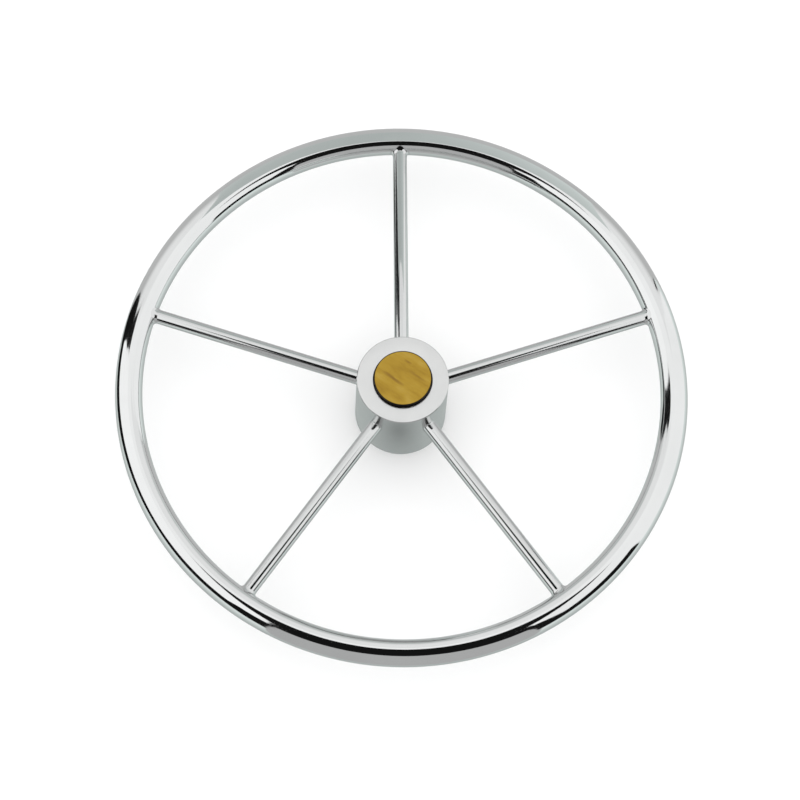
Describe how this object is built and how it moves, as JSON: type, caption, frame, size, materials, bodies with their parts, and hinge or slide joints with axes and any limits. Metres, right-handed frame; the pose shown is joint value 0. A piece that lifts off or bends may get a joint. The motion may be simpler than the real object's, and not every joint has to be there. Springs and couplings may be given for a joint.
{
  "type": "boat steering wheel",
  "caption": "Stainless boat steering wheel with round-tube rim, rod spokes, deep tapered-bore hub and push-in cap with a teak inlay.",
  "frame": {"origin": "centre of the hub's back face, which seats towards the helm", "axes": "+Z along the wheel's axis towards the helmsman, +Y along the first spoke and the keyway"},
  "size_m": [0.4, 0.4, 0.0686],
  "materials": {
    "polished_steel": "mirror polished",
    "hub_steel": "turned, satin",
    "plain_steel": "plain",
    "teak": "oiled",
    "black_plastic": "turned",
    "black_rubber": "moulded"
  },
  "bodies": {
    "wheel": {"rim_tube": "polished_steel", "rim_seam_weld": "polished_steel", "rim_joint_sleeve": "plain_steel", "spoke_1": "polished_steel", "spoke_2": "polished_steel", "spoke_3": "polished_steel", "spoke_4": "polished_steel", "spoke_5": "polished_steel", "rim_weld_1": "polished_steel", "rim_weld_2": "polished_steel", "rim_weld_3": "polished_steel", "rim_weld_4": "polished_steel", "rim_weld_5": "polished_steel", "hub_weld_1": "polished_steel", "hub_weld_2": "polished_steel", "hub_weld_3": "polished_steel", "hub_weld_4": "polished_steel", "hub_weld_5": "polished_steel", "hub_body": "hub_steel", "plain_washer": "plain_steel", "spring_washer": "plain_steel"},
    "cap": {"cap_teak": "teak", "cap_carrier": "black_plastic", "cap_o_ring": "black_rubber", "cap_screws": "plain_steel"},
    "nut": {"shaft_nut": "plain_steel"}
  },
  "joints": [
    {"name": "cap_pull", "type": "slide", "parent": "wheel", "child": "cap", "axis": [0, 0, 1], "range_m": [0, 0.045]},
    {"name": "nut_turn", "type": "hinge", "parent": "wheel", "child": "nut", "pos_m": [0, 0, 0.05345], "axis": [0, 0, 1], "continuous": true}
  ]
}
